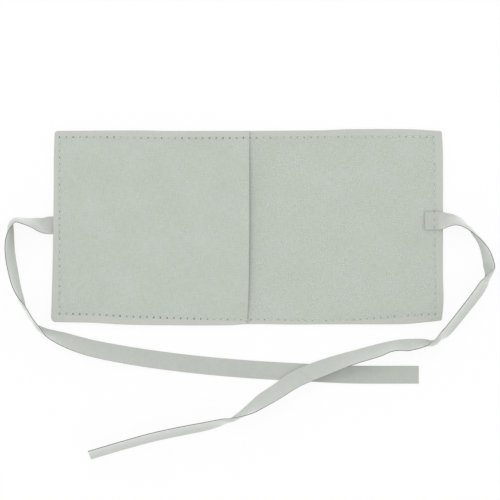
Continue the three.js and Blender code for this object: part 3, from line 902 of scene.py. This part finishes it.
class POUCH_OT_add_cover(bpy.types.Operator):
    """Add the outer cover, which is outside when the pouch is shut, and the lining on it"""

    bl_idname = "pouch.add_cover"
    bl_label = "Cover and lining"

    def execute(self, context):
        xs = grid_lines(
            edge_lines(POCKET_END, 1),
            row_lines(POCKET_ROW),
            ruled(GRID_STEP, POCKET_ROW + ROW_CLEAR, FOLD_START),
            ruled(FOLD_STEP, FOLD_START, FOLD_END),
            ruled(GRID_STEP, FOLD_END, FLAP_ROW - ROW_CLEAR),
            row_lines(FLAP_ROW),
            edge_lines(FLAP_END, -1),
        )
        upper = upper_half_lines()
        ys = grid_lines(-upper, upper)
        every_edge = ("left", "right", "bottom", "top")
        cover_suede = microsuede("microsuede", SUEDE_FLECKS)
        cover = cloth("outer_cover", xs, ys, cover_under, cover_over, cover_suede, every_edge)
        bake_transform(cover)
        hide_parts("back_cover", "cover_fold", "flap_cover")
        lining_suede = microsuede("microsuede lining", LINING_FLECKS)
        lining = cloth("lining", xs, ys, cover_over, flap_over, lining_suede, every_edge)
        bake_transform(lining)
        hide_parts("back_lining", "lining_fold", "flap_lining")
        return {"FINISHED"}


class POUCH_OT_add_pocket(bpy.types.Operator):
    """Add the pocket front: its sewn left edge, and its upper and lower halves"""

    bl_idname = "pouch.add_pocket"
    bl_label = "Pocket front"

    def execute(self, context):
        suede = microsuede("microsuede", SUEDE_FLECKS)
        edge_xs = grid_lines(edge_lines(POCKET_END, 1), row_lines(POCKET_ROW))
        edge_xs = edge_xs[edge_xs <= POCKET_ROW]
        plain_xs = ruled(GRID_STEP, POCKET_ROW + ROW_CLEAR, MOUTH - EDGE_LINES[-1])
        xs = grid_lines(row_lines(POCKET_ROW), plain_xs, edge_lines(MOUTH, -1))
        xs = xs[xs >= edge_xs[-1]]
        upper = upper_half_lines()
        sides = (pocket_under, pocket_over)
        ys = grid_lines(-upper, upper)
        edge = cloth("pocket_edge", edge_xs, ys, *sides, suede, ("left", "bottom", "top"), pocket=True)
        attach(edge, "pocket_half")
        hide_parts("pocket_margin_left")
        for name, sign, side, nodes, hem in (
            ("pocket_upper", 1, "top", ("pocket_margin_top", "pocket_front"), [edge]),
            ("pocket_lower", -1, "bottom", ("pocket_margin_bottom",), []),
        ):
            half = cloth(name, xs, np.sort(sign * upper), *sides, suede, ("right", side), pocket=True)
            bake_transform(half)
            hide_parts(*nodes)
        return {"FINISHED"}


class POUCH_OT_add_stitches(bpy.types.Operator):
    """Add the stitches of the row that runs round the pouch, on both of its faces"""

    bl_idname = "pouch.add_stitches"
    bl_label = "Stitches"

    def execute(self, context):
        thread = spun_thread("spun polyester thread")
        rows = {name: list(zip(*holes)) for name, holes in hole_rows().items()}
        runs = {name: list(zip(holes, holes[1:])) for name, holes in rows.items()}
        sides = runs["top"] + runs["bottom"]
        on_pocket = runs["left"] + [s for s in sides if s[1][0] <= MOUTH]
        on_flap = runs["right"] + [s for s in sides if s[1][0] > MOUTH]
        pocket = stitch_mesh("pocket_stitches", on_pocket, upper_seat, 1, thread)
        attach(pocket, "pocket_half")
        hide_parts("pocket_left_thread", "pocket_top_thread", "pocket_bottom_thread")
        flap = stitch_mesh("flap_stitches", on_flap, upper_seat, 1, thread)
        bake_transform(flap)
        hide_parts("fold_top_thread", "fold_bottom_thread", "flap_top_thread", "flap_bottom_thread")
        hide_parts("flap_right_thread")
        under = stitch_mesh("cover_stitches", on_pocket + on_flap, cover_under, -1, thread)
        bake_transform(under)
        return {"FINISHED"}


class POUCH_OT_add_stage(bpy.types.Operator):
    """Add the white floor, the soft light and the camera that looks straight down"""

    bl_idname = "pouch.add_stage"
    bl_label = "Stage"

    def execute(self, context):
        scene = context.scene
        scene.view_settings.view_transform = "Standard"
        half = FLOOR_SIZE / 2
        mesh = bpy.data.meshes.new("floor")
        corners = [(-half, -half, 0), (half, -half, 0), (half, half, 0), (-half, half, 0)]
        mesh.from_pydata(corners, [], [(0, 1, 2, 3)])
        mesh.materials.append(sweep("matt white floor"))
        floor = bpy.data.objects.new("floor", mesh)
        floor.location.z = -FLOOR_GAP * MM
        scene.collection.objects.link(floor)
        scene.world = light_tent("light tent")
        for name, place, size, power in LAMPS:
            lamp = bpy.data.lights.new(name, "AREA")
            lamp.size = size
            lamp.energy = power
            holder = bpy.data.objects.new(name, lamp)
            holder.location = place
            holder.rotation_euler = (-Vector(place)).to_track_quat("-Z", "Y").to_euler()
            scene.collection.objects.link(holder)
        camera = bpy.data.cameras.new("camera")
        camera.lens = CAMERA_LENS
        camera.sensor_width = CAMERA_SENSOR
        holder = bpy.data.objects.new("camera", camera)
        distance = VIEW_WIDTH * MM * CAMERA_LENS / CAMERA_SENSOR
        holder.location = (VIEW_CENTRE[0] * MM, VIEW_CENTRE[1] * MM, INNER_FACE * MM + distance)
        scene.collection.objects.link(holder)
        scene.camera = holder
        return {"FINISHED"}


class POUCH_PT_parts(bpy.types.Panel):
    """Sizes, colours and pieces of the pouch"""

    bl_idname = "POUCH_PT_parts"
    bl_label = "Jewellery pouch"
    bl_space_type = "VIEW_3D"
    bl_region_type = "UI"
    bl_category = "Pouch"

    def draw(self, context):
        column = self.layout.column()
        for group in (context.scene.pouch_sizes, context.scene.pouch_colours):
            for name in group.__annotations__:
                column.prop(group, name)
        for operator in OPERATORS:
            column.operator(operator.bl_idname)


OPERATORS = (
    POUCH_OT_add_stage,
    POUCH_OT_add_ties,
    POUCH_OT_add_cover,
    POUCH_OT_add_pocket,
    POUCH_OT_add_stitches,
)
CLASSES = (PouchSizes, PouchColours, *OPERATORS, POUCH_PT_parts)


def register():
    """Register the classes and hang the settings on the scene."""
    for item in CLASSES:
        bpy.utils.register_class(item)
    bpy.types.Scene.pouch_sizes = bpy.props.PointerProperty(type=PouchSizes)
    bpy.types.Scene.pouch_colours = bpy.props.PointerProperty(type=PouchColours)


def unregister():
    """Take the settings and the classes away again."""
    del bpy.types.Scene.pouch_colours
    del bpy.types.Scene.pouch_sizes
    for item in reversed(CLASSES):
        bpy.utils.unregister_class(item)


def main():
    """Build the pouch and its stage."""
    register()
    bpy.ops.pouch.add_stage()
    bpy.ops.pouch.add_ties()
    bpy.ops.pouch.add_cover()
    bpy.ops.pouch.add_pocket()
    bpy.ops.pouch.add_stitches()


if __name__ == "__main__":
    main()
